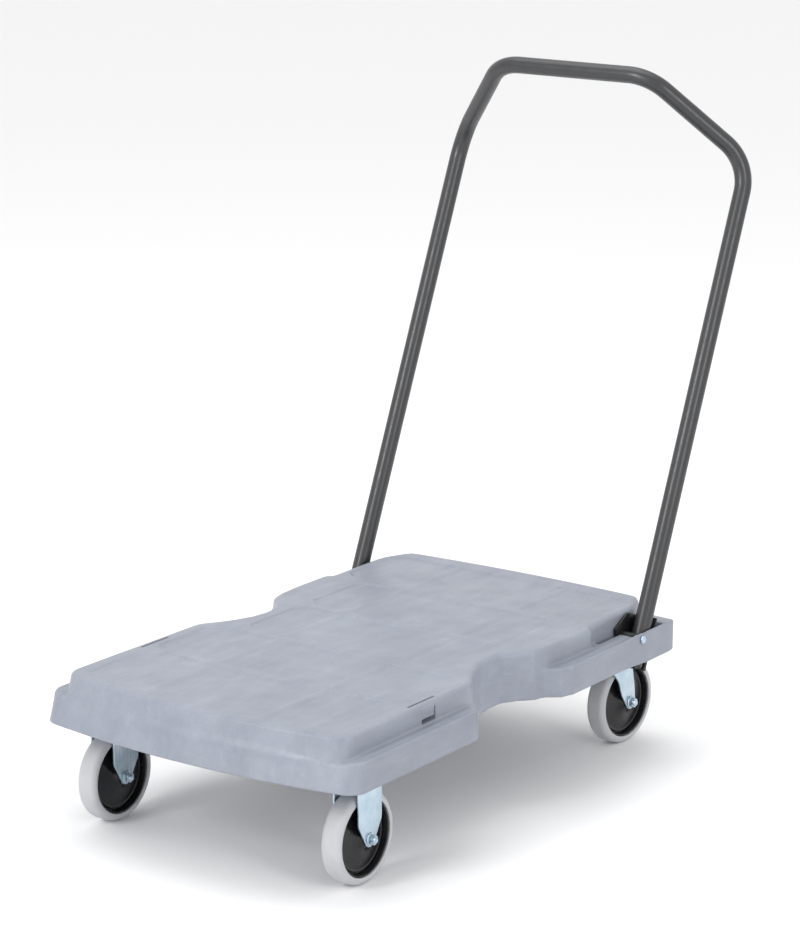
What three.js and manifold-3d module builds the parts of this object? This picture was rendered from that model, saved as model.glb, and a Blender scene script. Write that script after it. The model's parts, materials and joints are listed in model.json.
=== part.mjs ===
// A folding platform cart: a moulded deck on two fixed and two swivel casters, with a bent-tube
// handle that leans back over the rear end and folds forward on to the deck's side ledges.
// Millimetres, +Z up, +X to the right, the front end towards -Y, the handle at +Y.
// The origin is at the bottom centre of the whole cart's bounding box.
import * as THREE from "three";
import { mergeVertices } from "three/addons/utils/BufferGeometryUtils.js";
import Module from "manifold-3d";

const wasm = await Module();
wasm.setup();

// ---------- driving dimensions ----------
const DECK = {
  halfWidth: 260.35, // 20.5 in wide
  bottom: 150.4,
  ledge: 190.9,
  top: 219.5,
  front: -401,
  rear: 424,
  frontBow: 3.95e-4, // the front edge is at front + frontBow * x * x
  rearBow: 2.1e-4,
  draft: 12.7, // how far the front wall leans back between its foot and the ledge
  bevel: 5,
  wall: 5,
  topSkin: 6.5,
};
const PLATFORM = {
  halfBase: 236,
  halfTop: 234.5,
  step: 225, // half width beside the handle's pockets
  front: -389.2,
  rear: 421,
  slope: 8.7,
};
const PANEL = {
  front: -352,
  bowed: 12, // how far the front panel runs on towards the bowed front edge
  rear: 382,
  count: 5,
  land: 16,
  rib: 10, // width of the two lengthways lands
  ribX: 92,
  halfWide: 213,
  halfNarrow: 170,
  corner: 16,
  depth: 2,
};
const RIB_FOOT = 166;
const CATCH = {
  y0: -196,
  y1: -166,
  low: 198, // the tab's lower edge, with an opening under it
  under: 193.2,
  slotX: 222.3,
  slotWidth: 3,
  slotY0: -211,
  slotY1: -150,
};
// The recess in each long side, as [x, y] points along its wall from front to rear: below the
// ledge, and above it where the platform's wall runs on behind it.
const RECESS = {
  y: 22,
  skirt: [[262, -97], [250, -92], [236, -75], [222, -52], [210, -29], [202, -8], [197, 21],
    [197, 47], [211, 77], [229, 101], [254, 120], [258, 138], [262, 142]],
  platform: [[262, -97], [250, -92], [236, -75], [221, -53], [207, -29], [197, -5], [194, 21],
    [195, 51], [211, 77], [226, 93], [233, 114], [238, 146], [262, 150]],
};
const LEAN = THREE.MathUtils.degToRad(23.2);
const FOLD = THREE.MathUtils.degToRad(90) + LEAN;
const TUBE = { r: 12.7, bore: 11.1, legX: 249.5, bend: 70, below: 38 };
const PIVOT = { y: 317, z: 187, offset: 17.1, r: 4, headR: 6 };
const ELBOW = { y: 611.5, z: 834.5 };
const GRIP = { halfX: 128.3, y: 526.8, z: 959.1 };
const POCKET = {
  front: 297,
  rear: 376,
  slotFront: 252,
  slotWidth: 6,
  outer: 263,
  wall: 2.8,
  innerWall: 4,
};
const BULGE = { start: 280, full: 304, fade: 385, end: 408, taper: 0.3, x: 265.8, top: 196 };
const NUT_ROOM = { x0: 202, x1: 221, y0: 302, y1: 350, z0: 168, z1: 205 };
const BRACKET = { x0: 227, x1: 262, tail: 42, top: 36, front: 19, back: 16, sheet: 3, barrel: 7 };
const RIVET = { u: -15, r: 3, head: 5 };
const PLUNGER = { u: -2, v: 4, r: 4, collar: 6 };
const WHEEL = { r: 63.5, half: 15.5, seat: 53, rimFace: 13.2, sides: 24 };
const FORK = { inner: 18, outer: 21, half: 25.5, tip: 10.8 };
const PLATE = { halfX: 33.5, halfY: 46, top: 160, bottom: 157 };
const SCREW = { x: 25, y: 38, r: 3.2, headR: 6.4, headH: 4, length: 11 };
const AXLE = { r: 4.75, nutR: 7.5, washer: 9, nutH: 7, sleeve: 8 };
const FRONT_CASTER = { x: 204, y: -294.5 };
const SWIVEL_CASTER = { x: 181.5, y: 350, trail: 39.5, yaw: THREE.MathUtils.degToRad(-5) };
const GAP = 0.3;

// ---------- colours ----------
const paint = (color, roughness, metalness = 0) =>
  new THREE.MeshStandardMaterial({ color, roughness, metalness });
const GREY_PLASTIC = paint(0x9ca1ad, 0.5);
const BLACK_PAINT = paint(0x3a3b3e, 0.4, 0.3);
const BLACK_PART = paint(0x161719, 0.5);
const ZINC = paint(0xb9cdd6, 0.35, 0.8);
const HUB_BLACK = paint(0x1c1d1f, 0.45);
const TYRE_GREY = paint(0xc3c5c9, 0.55);

// ---------- solids ----------
function solid(geometry) {
  const g = geometry.index ? geometry.toNonIndexed() : geometry.clone();
  g.deleteAttribute("normal");
  g.deleteAttribute("uv");
  const merged = mergeVertices(g, 1e-3);
  return new wasm.Manifold(
    new wasm.Mesh({
      numProp: 3,
      vertProperties: new Float32Array(merged.attributes.position.array),
      triVerts: new Uint32Array(merged.index.array),
    }),
  );
}

function geometryOf(manifold) {
  const mesh = manifold.getMesh();
  const g = new THREE.BufferGeometry();
  g.setAttribute("position", new THREE.BufferAttribute(mesh.vertProperties, 3));
  g.setIndex(new THREE.BufferAttribute(mesh.triVerts, 1));
  return g;
}

const join = (parts) => parts.reduce((a, b) => a.add(b));
const cut = (base, tools) => tools.reduce((a, b) => a.subtract(b), base);

function box(x0, x1, y0, y1, z0, z1) {
  const g = new THREE.BoxGeometry(x1 - x0, y1 - y0, z1 - z0);
  g.translate((x0 + x1) / 2, (y0 + y1) / 2, (z0 + z1) / 2);
  return solid(g);
}

// A box on both sides of the cart's centre plane; x0 and x1 are given for the right side.
const boxes = (x0, x1, ...rest) => [box(x0, x1, ...rest), box(-x1, -x0, ...rest)];

function rod(axis, r, from, to, centre, sides = 16) {
  const g = new THREE.CylinderGeometry(r, r, to - from, sides);
  g.translate(0, (from + to) / 2, 0);
  if (axis === "x") g.rotateZ(-Math.PI / 2);
  if (axis === "z") g.rotateX(Math.PI / 2);
  g.translate(...centre);
  return solid(g);
}

// Extrudes an outline of [y, z] points from x0 to x1.
function plateX(outline, x0, x1) {
  const shape = new THREE.Shape(outline.map(([y, z]) => new THREE.Vector2(y, z)));
  const g = new THREE.ExtrudeGeometry(shape, { depth: x1 - x0, bevelEnabled: false });
  g.rotateY(Math.PI / 2);
  g.rotateX(Math.PI / 2);
  g.translate(x0, 0, 0);
  return solid(g);
}

// Extrudes an outline of [x, y] points from z0 to z1.
function prism(outline, z0, z1) {
  const shape = new THREE.Shape(outline.map(([x, y]) => new THREE.Vector2(x, y)));
  const g = new THREE.ExtrudeGeometry(shape, { depth: z1 - z0, bevelEnabled: false });
  g.translate(0, 0, z0);
  return solid(g);
}

// Joins rings of the same number of points into one closed skin. Each end is closed by `cap`,
// which gives triangles as index triples of a ring.
function skin(rings, cap) {
  const n = rings[0].length;
  const last = (rings.length - 1) * n;
  const index = [];
  for (let k = 0; k + 1 < rings.length; k++) {
    for (let i = 0; i < n; i++) {
      const a = k * n + i;
      const b = k * n + ((i + 1) % n);
      index.push(a, b, b + n, a, b + n, a + n);
    }
  }
  for (const [a, b, c] of cap) index.push(c, b, a, last + a, last + b, last + c);
  const g = new THREE.BufferGeometry();
  const flat = rings.flat().flatMap((p) => [p.x, p.y, p.z]);
  g.setAttribute("position", new THREE.Float32BufferAttribute(flat, 3));
  g.setIndex(index);
  return solid(g);
}

// A drafted block between two outlines of [x, y] points with the same number of points.
function loft(levels) {
  const rings = levels.map(({ z, outline }) => outline.map(([x, y]) => new THREE.Vector3(x, y, z)));
  const flat = levels[0].outline.map(([x, y]) => new THREE.Vector2(x, y));
  return skin(rings, THREE.ShapeUtils.triangulateShape(flat, []));
}

// A round tube along centreline points, as a solid of radius r.
function sweep(points, r, sides) {
  const rings = [];
  let normal = new THREE.Vector3(0, 1, 0);
  points.forEach((p, i) => {
    const before = points[Math.max(i - 1, 0)];
    const after = points[Math.min(i + 1, points.length - 1)];
    const tangent = after.clone().sub(before).normalize();
    normal = normal.clone().addScaledVector(tangent, -normal.dot(tangent)).normalize();
    const side = tangent.clone().cross(normal);
    rings.push(
      Array.from({ length: sides }, (_, k) => {
        const a = (k / sides) * 2 * Math.PI;
        return p
          .clone()
          .addScaledVector(normal, r * Math.cos(a))
          .addScaledVector(side, r * Math.sin(a));
      }),
    );
  });
  const fan = Array.from({ length: sides - 2 }, (_, k) => [0, k + 1, k + 2]);
  return skin(rings, fan);
}

// A solid turned about the X axis from [x, radius] points.
function turnedX(profile, sides) {
  const g = new THREE.LatheGeometry(profile.map(([x, r]) => new THREE.Vector2(r, x)), sides);
  g.rotateZ(-Math.PI / 2);
  return solid(g);
}

function place(manifold, x, y, z) {
  return manifold.translate([x, y, z]);
}

const parts = new THREE.Group();
function add(name, manifold, material, parent = parts) {
  const mesh = new THREE.Mesh(geometryOf(manifold), material);
  mesh.name = name;
  parent.add(mesh);
}

// ---------- the handle's frame ----------
const ALONG = new THREE.Vector3(0, Math.sin(LEAN), Math.cos(LEAN)); // up the leaning leg
const BEHIND = new THREE.Vector3(0, Math.cos(LEAN), -Math.sin(LEAN)); // square to it, rearward

// The [y, z] place that is u up the leg's axis from the pivot's level and v behind the axis.
function onLeg(u, v) {
  const b = v + PIVOT.offset;
  return [PIVOT.y + u * ALONG.y + b * BEHIND.y, PIVOT.z + u * ALONG.z + b * BEHIND.z];
}

// The tube's centreline: straight stretches with an arc of radius `bend` at each corner.
function handleLine(arcSteps) {
  const [footY, footZ] = onLeg(-TUBE.below, 0);
  const corners = [
    new THREE.Vector3(TUBE.legX, footY, footZ),
    new THREE.Vector3(TUBE.legX, ELBOW.y, ELBOW.z),
    new THREE.Vector3(GRIP.halfX, GRIP.y, GRIP.z),
    new THREE.Vector3(-GRIP.halfX, GRIP.y, GRIP.z),
    new THREE.Vector3(-TUBE.legX, ELBOW.y, ELBOW.z),
    new THREE.Vector3(-TUBE.legX, footY, footZ),
  ];
  const line = [corners[0]];
  for (let i = 1; i + 1 < corners.length; i++) {
    const back = corners[i - 1].clone().sub(corners[i]).normalize();
    const on = corners[i + 1].clone().sub(corners[i]).normalize();
    const half = back.angleTo(on) / 2;
    const centre = back.clone().add(on).normalize().multiplyScalar(TUBE.bend / Math.sin(half));
    centre.add(corners[i]);
    const start = corners[i].clone().addScaledVector(back, TUBE.bend / Math.tan(half)).sub(centre);
    const axis = start.clone().cross(on).normalize();
    for (let k = 0; k <= arcSteps; k++) {
      const turn = (k / arcSteps) * (Math.PI - 2 * half);
      line.push(start.clone().applyAxisAngle(axis, turn).add(centre));
    }
  }
  line.push(corners[corners.length - 1]);
  return line;
}

// Points turned forward about the pivot, as when the handle folds by `angle`.
function folded(points, angle) {
  const pivot = new THREE.Vector3(0, PIVOT.y, PIVOT.z);
  const axis = new THREE.Vector3(1, 0, 0);
  return points.map((p) => p.clone().sub(pivot).applyAxisAngle(axis, angle).add(pivot));
}

// ---------- deck ----------
// Mirrors the right-hand half of an outline, listed from front to rear, on to the left.
const bothSides = (right) => [...right, ...right.map(([x, y]) => [-x, y]).reverse()];

function arcPoints(cx, cy, r, from, to, steps) {
  return Array.from({ length: steps + 1 }, (_, k) => {
    const a = THREE.MathUtils.degToRad(from + ((to - from) * k) / steps);
    return [cx + r * Math.cos(a), cy + r * Math.sin(a)];
  });
}

// The deck's outer outline: bowed front and rear ends, straight sides and rounded corners.
function skirtOutline(inset, front, rear) {
  const hw = DECK.halfWidth - inset;
  const rf = 28 - inset;
  const rr = 11 - inset * 0.5;
  const frontY = (x) => front + inset + DECK.frontBow * x * x;
  const rearY = (x) => rear - inset - DECK.rearBow * x * x;
  const right = [];
  for (const x of [10, 70, 130, 185]) right.push([x, frontY(x)]);
  right.push(...arcPoints(hw - rf, frontY(hw - rf) + rf, rf, -80, 0, 5));
  right.push(...arcPoints(hw - rr, rearY(hw - rr) - rr, rr, 0, 85, 3));
  for (const x of [170, 90, 10]) right.push([x, rearY(x)]);
  return bothSides(right);
}

// The raised platform's outline, which steps in beside the handle's pockets.
function platformOutline(inset, halfWidth, front, rear) {
  const hw = halfWidth - inset;
  const step = PLATFORM.step - inset;
  const rf = 28 - inset;
  const frontY = (x) => front + inset + DECK.frontBow * x * x;
  const rearY = (x) => rear - inset - DECK.rearBow * x * x;
  const right = [];
  for (const x of [10, 70, 130, 180]) right.push([x, frontY(x)]);
  right.push(...arcPoints(hw - rf, frontY(hw - rf) + rf, rf, -80, 0, 5));
  right.push([hw, POCKET.slotFront - 26], [step, POCKET.slotFront - 18], [step, 352]);
  right.push([step - 5, 374], [206 - inset, 400], [196 - inset, rearY(196) - 3]);
  for (const x of [150, 80, 10]) right.push([x, rearY(x)]);
  return bothSides(right);
}

// The space of both side recesses between z0 and z1, grown by `grow` into the deck.
function recesses(points, grow, z0, z1) {
  const wall = points.map(([x, y], k) => {
    const [ax, ay] = points[Math.max(k - 1, 0)];
    const [bx, by] = points[Math.min(k + 1, points.length - 1)];
    const length = Math.hypot(bx - ax, by - ay);
    return [x - (grow * (by - ay)) / length, y + (grow * (bx - ax)) / length];
  });
  const outer = DECK.halfWidth + 20;
  const first = wall[0];
  const last = wall[wall.length - 1];
  const right = prism([...wall, [outer, last[1]], [outer, first[1]]], z0, z1);
  return [right, right.mirror([1, 0, 0])];
}

// How far out the side wall stands beside the handle's foot, at a place along the deck.
function bulgeX(y) {
  const rise = THREE.MathUtils.smoothstep(y, BULGE.start, BULGE.full);
  const fall = 1 - BULGE.taper * THREE.MathUtils.smoothstep(y, BULGE.fade, BULGE.end);
  return DECK.halfWidth - 0.2 + (BULGE.x - DECK.halfWidth + 0.2) * Math.min(rise, fall);
}

// The side wall's bulge, with a low hump along its top edge.
function bulges() {
  const steps = 14;
  const edge = Array.from({ length: steps + 1 }, (_, k) => {
    const y = BULGE.start + ((BULGE.end - BULGE.start) * k) / steps;
    return [bulgeX(y), y];
  });
  const inner = DECK.halfWidth - 8;
  const outline = [[inner, BULGE.start], ...edge, [inner, BULGE.end]];
  const hump = plateX([[BULGE.start, DECK.bottom], [BULGE.start, DECK.ledge],
    [BULGE.full + 8, BULGE.top], [BULGE.end, BULGE.top], [BULGE.end, DECK.bottom]],
    POCKET.outer - GAP, BULGE.x + 1);
  const right = prism(outline, DECK.bottom, DECK.ledge).add(
    prism(outline, DECK.bottom, BULGE.top).intersect(hump),
  );
  return [right, right.mirror([1, 0, 0])];
}

// The opening that the handle's foot stands in, open above and below.
function pockets() {
  const edge = [POCKET.front, 304, 312, 330, 350, 360, 368, POCKET.rear].map((y) => [
    Math.min(bulgeX(y) - POCKET.wall, POCKET.outer),
    y,
  ]);
  const outline = [[PLATFORM.step, POCKET.front], ...edge, [PLATFORM.step, POCKET.rear]];
  const right = prism(outline, DECK.bottom - 5, DECK.top + 10);
  const slot = box(PLATFORM.step, PLATFORM.step + POCKET.slotWidth, POCKET.slotFront,
    POCKET.front + 1, DECK.bottom - 5, DECK.top + 10);
  return [right, slot, right.mirror([1, 0, 0]), slot.mirror([1, 0, 0])];
}

// The wedge at the front of each pocket that the leaning bracket's tail rests against.
function handleStops() {
  const face = -BRACKET.front - GAP;
  const outline = [[POCKET.front - 1, 153], onLeg(-38, face), onLeg(-23, face),
    [POCKET.front - 1, 170]];
  const right = plateX(outline, PLATFORM.step + POCKET.slotWidth, POCKET.outer + 1);
  return [right, right.mirror([1, 0, 0])];
}

// Shallow load panels in the top, with cut corners, between the rim and the cross lands.
function loadPanels() {
  const length = (PANEL.rear - PANEL.front - (PANEL.count - 1) * PANEL.land) / PANEL.count;
  return Array.from({ length: PANEL.count }, (_, k) => {
    const y0 = PANEL.front + k * (length + PANEL.land);
    const y1 = y0 + length;
    const besideRecess = Math.abs((y0 + y1) / 2 - RECESS.y) < length;
    const hx = besideRecess ? PANEL.halfNarrow : PANEL.halfWide;
    const frontY = (x) => (k === 0 ? y0 - PANEL.bowed + DECK.frontBow * x * x : y0);
    const outline = [60, 130, hx - PANEL.corner].map((x) => [x, frontY(x)]);
    outline.push([hx, frontY(hx) + PANEL.corner], [hx, y1 - PANEL.corner],
      [hx - PANEL.corner, y1]);
    const lands = boxes(PANEL.ribX - PANEL.rib / 2, PANEL.ribX + PANEL.rib / 2,
      y0 - PANEL.bowed - 1, y1 + 1, DECK.top - PANEL.depth - 1, DECK.top + 6);
    return cut(prism(bothSides(outline), DECK.top - PANEL.depth, DECK.top + 5), lands);
  });
}

// What is left hollow under the deck, between its skin, cross ribs, caster pads and pocket walls.
function underside() {
  const floor = DECK.bottom - 2;
  const under = loft([
    { z: floor, outline: skirtOutline(DECK.wall, DECK.front, DECK.rear) },
    { z: DECK.ledge - DECK.wall,
      outline: skirtOutline(DECK.wall, DECK.front + DECK.draft, DECK.rear - 2) },
  ]);
  const raised = loft([
    { z: DECK.ledge - DECK.wall - 3,
      outline: platformOutline(DECK.wall, PLATFORM.halfBase, PLATFORM.front, PLATFORM.rear) },
    { z: DECK.top - DECK.topSkin,
      outline: platformOutline(DECK.wall, PLATFORM.halfTop, PLATFORM.front + PLATFORM.slope,
        PLATFORM.rear - 2) },
  ]);
  const pads = casterPlaces().map(({ x, y }) =>
    box(x - PLATE.halfX - 3, x + PLATE.halfX + 3, y - PLATE.halfY - 4, y + PLATE.halfY + 4,
      PLATE.top + GAP, DECK.top),
  );
  const nutRooms = boxes(NUT_ROOM.x0, NUT_ROOM.x1, NUT_ROOM.y0, NUT_ROOM.y1, NUT_ROOM.z0,
    NUT_ROOM.z1);
  const ribs = [];
  for (const x of [-110, 0, 110]) ribs.push(box(x - 2, x + 2, -395, 420, RIB_FOOT, DECK.top));
  for (const y of [-210, -60, 90, 240]) {
    ribs.push(box(-255, 255, y - 2, y + 2, RIB_FOOT, DECK.top));
  }
  const pocketWalls = boxes(PLATFORM.step - POCKET.innerWall, DECK.halfWidth + 10,
    POCKET.slotFront - 4, POCKET.rear + 5, floor - 1, DECK.top);
  const recessWalls = [RECESS.skirt, RECESS.platform].flatMap((wall) =>
    recesses(wall, DECK.wall, floor - 5, DECK.top),
  );
  const solidParts = [...recessWalls, ...ribs, ...pocketWalls];
  return cut(cut(join([under, raised]), pads).add(join(nutRooms)), solidParts);
}

// The moulded spring catch on each side of the platform, beside the folded leg.
function catches() {
  const nose = [[230, 216.5], [234.8, 216], [236.2, 213], [236.2, 210], [235.4, CATCH.low],
    [230, CATCH.low]];
  const shape = new THREE.Shape(nose.map(([x, z]) => new THREE.Vector2(x, z)));
  const g = new THREE.ExtrudeGeometry(shape, { depth: CATCH.y1 - CATCH.y0, bevelEnabled: false });
  g.rotateX(Math.PI / 2);
  g.translate(0, CATCH.y1, 0);
  const right = solid(g);
  return [right, right.mirror([1, 0, 0])];
}

function catchOpenings() {
  const { slotX, slotWidth, slotY0, slotY1, y0, y1, under, low } = CATCH;
  return [
    ...boxes(slotX, slotX + slotWidth, slotY0, slotY1, DECK.top - 16, DECK.top + 5),
    ...boxes(slotX - 4, 240, y0 + 2, y1 + 3, under, low),
  ];
}

function deck() {
  const skirt = loft([
    { z: DECK.bottom, outline: skirtOutline(0, DECK.front, DECK.rear) },
    { z: DECK.ledge, outline: skirtOutline(0, DECK.front + DECK.draft, DECK.rear - 2) },
  ]);
  const front = PLATFORM.front + PLATFORM.slope;
  const platform = loft([
    { z: DECK.ledge - 4,
      outline: platformOutline(0, PLATFORM.halfBase, PLATFORM.front, PLATFORM.rear) },
    { z: DECK.top - DECK.bevel,
      outline: platformOutline(0, PLATFORM.halfTop, front, PLATFORM.rear - 2) },
    { z: DECK.top,
      outline: platformOutline(DECK.bevel * 0.7, PLATFORM.halfTop, front, PLATFORM.rear - 2) },
  ]);
  const foldedLine = folded(handleLine(5), FOLD);
  const middle = foldedLine.length / 2;
  const screwHoles = casterPlaces().flatMap(({ x, y }) =>
    screwSpots(x, y).map(([sx, sy]) =>
      rod("z", SCREW.r + GAP, PLATE.top - 2, PLATE.top + 12, [sx, sy, 0], 8)),
  );
  const [plungerY, plungerZ] = onLeg(PLUNGER.u, PLUNGER.v);
  const body = cut(join([skirt, platform, ...bulges(), ...catches()]), [
    underside(),
    ...recesses(RECESS.skirt, 0, DECK.bottom - 5, DECK.ledge),
    ...recesses(RECESS.platform, 0, DECK.ledge, DECK.top + 5),
    ...pockets(),
    ...loadPanels(),
    ...catchOpenings(),
    sweep(foldedLine.slice(0, middle), TUBE.r + 1, 10),
    sweep(foldedLine.slice(middle), TUBE.r + 1, 10),
    ...screwHoles,
  ]);
  return cut(join([body, ...handleStops()]), [
    rod("x", PIVOT.r + GAP, -300, 300, [0, PIVOT.y, PIVOT.z], 14),
    rod("x", PLUNGER.r + GAP, -240, 240, [0, plungerY, plungerZ], 16),
  ]);
}

// ---------- handle ----------
function handleTube() {
  const line = handleLine(5);
  const inside = [...line];
  const reach = 4; // the bore's tool runs out past both open ends
  inside[0] = line[0].clone().addScaledVector(ALONG, -reach);
  inside[line.length - 1] = line[line.length - 1].clone().addScaledVector(ALONG, -reach);
  return cut(sweep(line, TUBE.r, 12), [
    sweep(inside, TUBE.bore, 12),
    ...[1, -1].map((side) => crossRod(side, RIVET.r + GAP, -30, 30)),
  ]);
}

// A short round bar on the leg's axis from u0 to u1.
function legRod(side, r, u0, u1, sides = 14) {
  const x = side * TUBE.legX;
  return sweep([u0, u1].map((u) => new THREE.Vector3(x, ...onLeg(u, 0))), r, sides);
}

// A round bar square through the leg, from v0 in front of its axis to v1 behind it.
function crossRod(side, r, v0, v1) {
  const x = side * TUBE.legX;
  return sweep([v0, v1].map((v) => new THREE.Vector3(x, ...onLeg(RIVET.u, v))), r, 12);
}

// The plastic plug that closes the leg's open foot.
function footPlug(side) {
  return join([
    legRod(side, TUBE.bore - 0.9, -TUBE.below - 1, -TUBE.below + 9),
    legRod(side, TUBE.r - 0.6, -TUBE.below - 2.6, -TUBE.below - GAP),
  ]);
}

// The black bracket that carries the leg: an inner cheek with an ear round the pivot, a short
// outer cheek open round the leg, a web behind the leg, a front wall below the pivot and a
// barrel for the pivot bolt.
function pivotBracket(side) {
  const { x0, x1, tail, top, front, back, sheet } = BRACKET;
  const cheek = [onLeg(-tail, back), onLeg(-tail, -front), onLeg(-14, -front - 4),
    onLeg(-6, -front - 12), onLeg(0, -front - 17), onLeg(5.4, -front - 19.5),
    onLeg(top - 2, -14), onLeg(top, back)];
  const web = [onLeg(-tail, back - sheet), onLeg(-tail, back), onLeg(top, back),
    onLeg(top, back - sheet)];
  const wall = [onLeg(-tail, -front), onLeg(-tail, sheet - front), onLeg(-8, sheet - front),
    onLeg(-8, -front)];
  const outer = [onLeg(-tail, back), onLeg(-tail, -front), onLeg(-8, -front), onLeg(-8, back)];
  const c = [0, PIVOT.y, PIVOT.z];
  const right = cut(
    join([
      plateX(cheek.reverse(), x0, x0 + sheet),
      plateX(outer.reverse(), x1 - sheet, x1),
      plateX(web.reverse(), x0, x1),
      plateX(wall, x0, x1),
      rod("x", BRACKET.barrel, x0 + 1, x1, c),
    ]),
    [
      legRod(1, TUBE.r + 0.7, -60, 60),
      rod("x", PIVOT.r + GAP, 200, 300, c, 14),
      crossRod(1, RIVET.r + GAP, -30, 30),
    ],
  );
  return side > 0 ? right : right.mirror([1, 0, 0]);
}

// The rivet that holds the leg between the bracket's web and front wall.
function crossRivet(side) {
  return join([
    crossRod(side, RIVET.r, -BRACKET.front - 2, BRACKET.back + 2),
    crossRod(side, RIVET.head, -BRACKET.front - 2.2, -BRACKET.front - GAP),
    crossRod(side, RIVET.head, BRACKET.back + GAP, BRACKET.back + 2.2),
  ]);
}

function pivotBolt(side) {
  const c = [0, PIVOT.y, PIVOT.z];
  const headFrom = BULGE.x + GAP;
  const head = rod("x", PIVOT.headR, headFrom, headFrom + 2.2, c);
  const crown = rod("x", PIVOT.headR - 1.6, headFrom + 2, headFrom + 3.4, c);
  const right = join([head, crown, rod("x", PIVOT.r, NUT_ROOM.x0 + 4, headFrom + 1, c)]);
  return side > 0 ? right : right.mirror([1, 0, 0]);
}

function pivotNut(side) {
  const c = [0, PIVOT.y, PIVOT.z];
  const face = PLATFORM.step - POCKET.innerWall - GAP;
  const right = rod("x", 7.5, face - 6.5, face, c, 6).subtract(
    rod("x", PIVOT.r + GAP, 190, 260, c),
  );
  return side > 0 ? right : right.mirror([1, 0, 0]);
}

// The sprung plunger in the pocket's inner wall, whose nose bears on the bracket's cheek.
function detentPlunger(side) {
  const c = [0, ...onLeg(PLUNGER.u, PLUNGER.v)];
  const nose = BRACKET.x0 - 0.4;
  const collarTo = PLATFORM.step - POCKET.innerWall - GAP;
  const right = join([
    rod("x", PLUNGER.r - 1.2, nose - 1, nose, c, 16),
    rod("x", PLUNGER.r, collarTo - 1, nose - 0.8, c, 16),
    rod("x", PLUNGER.collar, collarTo - 3, collarTo, c, 16),
  ]);
  return side > 0 ? right : right.mirror([1, 0, 0]);
}

// ---------- casters ----------
function casterPlaces() {
  return [
    { name: "front_left", x: -FRONT_CASTER.x, y: FRONT_CASTER.y, yaw: 0 },
    { name: "front_right", x: FRONT_CASTER.x, y: FRONT_CASTER.y, yaw: 0 },
    { name: "rear_left", x: -SWIVEL_CASTER.x, y: SWIVEL_CASTER.y, yaw: 0, swivels: true },
    { name: "rear_right", x: SWIVEL_CASTER.x, y: SWIVEL_CASTER.y, yaw: 0, swivels: true },
  ];
}

function screwSpots(x, y) {
  return [[1, 1], [-1, 1], [-1, -1], [1, -1]].map(([a, b]) => [x + a * SCREW.x, y + b * SCREW.y]);
}

function tyre() {
  const h = WHEEL.half;
  const r = WHEEL.r;
  const seat = WHEEL.seat + GAP;
  return turnedX([
    [-h + 1, seat], [-h, r - 8], [-h + 4, r - 2.5], [-h + 9, r], [h - 9, r], [h - 4, r - 2.5],
    [h, r - 8], [h - 1, seat], [-h + 1, seat],
  ], WHEEL.sides);
}

function hub() {
  const f = WHEEL.rimFace;
  const seat = WHEEL.seat;
  const half = [[16.5, 8.3], [16.5, 13], [8.5, 17], [8, 41], [5, 43], [5, 48.5], [f, 50.5],
    [f, seat]];
  const other = half.map(([x, r]) => [-x, r]);
  return turnedX([...other, ...half.reverse(), other[0]], WHEEL.sides);
}

function axleSleeve() {
  return rod("x", AXLE.sleeve, -17.6, 17.6, [0, 0, 0], 14).subtract(
    rod("x", AXLE.r + GAP, -30, 30, [0, 0, 0], 14),
  );
}

function axleBolt() {
  return join([
    rod("x", AXLE.nutR, -FORK.outer - 6.3, -FORK.outer - GAP, [0, 0, 0], 6),
    rod("x", AXLE.r, -FORK.outer - 2, FORK.outer + AXLE.nutH + 3, [0, 0, 0], 14),
  ]);
}

function axleNut() {
  const from = FORK.outer + GAP;
  return join([
    rod("x", AXLE.washer, from, from + 1.6, [0, 0, 0], 16),
    rod("x", AXLE.nutR, from + 1.2, from + AXLE.nutH, [0, 0, 0], 6),
  ]).subtract(rod("x", AXLE.r + GAP, from - 5, from + 20, [0, 0, 0], 14));
}

// The lower end of a fork leg, rounded about the axle, as [y, z] points from rear to front.
function legTip(y, from, to) {
  return arcPoints(y, WHEEL.r, FORK.tip, from, to, 8);
}

function mountingPlate(x, y) {
  return cut(
    box(x - PLATE.halfX, x + PLATE.halfX, y - PLATE.halfY, y + PLATE.halfY, PLATE.bottom,
      PLATE.top),
    screwSpots(x, y).map(([sx, sy]) => rod("z", SCREW.r + GAP, 150, 170, [sx, sy, 0], 8)),
  );
}

function fixedFork(x, y) {
  const side = [[-FORK.half, PLATE.bottom + 1], [-FORK.half, 86], ...legTip(0, 200, 340),
    [FORK.half, 86], [FORK.half, PLATE.bottom + 1]].map(([a, z]) => [y + a, z]);
  const legs = [-1, 1].map((s) => {
    const x0 = x + (s > 0 ? FORK.inner : -FORK.outer);
    return plateX(side, x0, x0 + FORK.outer - FORK.inner);
  });
  const web = box(x - FORK.outer, x + FORK.outer, y - FORK.half, y + FORK.half,
    PLATE.bottom - 3, PLATE.bottom + 1);
  return cut(join([mountingPlate(x, y), web, ...legs]), [
    rod("x", AXLE.r + GAP, x - 40, x + 40, [0, y, WHEEL.r], 14),
  ]);
}

function swivelPlate(x, y) {
  return cut(mountingPlate(x, y), [rod("z", 6.3, 150, 170, [x, y, 0], 16)]);
}

// The ball race between the plate and the fork, drawn as one pressed ring.
function ballRace(x, y) {
  return rod("z", 27, 149.3, PLATE.bottom - GAP, [x, y, 0], 20).subtract(
    rod("z", 6.3, 140, 170, [x, y, 0], 16),
  );
}

function kingPin(x, y) {
  return join([
    rod("z", 6, 139.5, PLATE.top - 0.2, [x, y, 0], 14),
    rod("z", 10, 138, 141.7, [x, y, 0], 14),
  ]);
}

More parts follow.
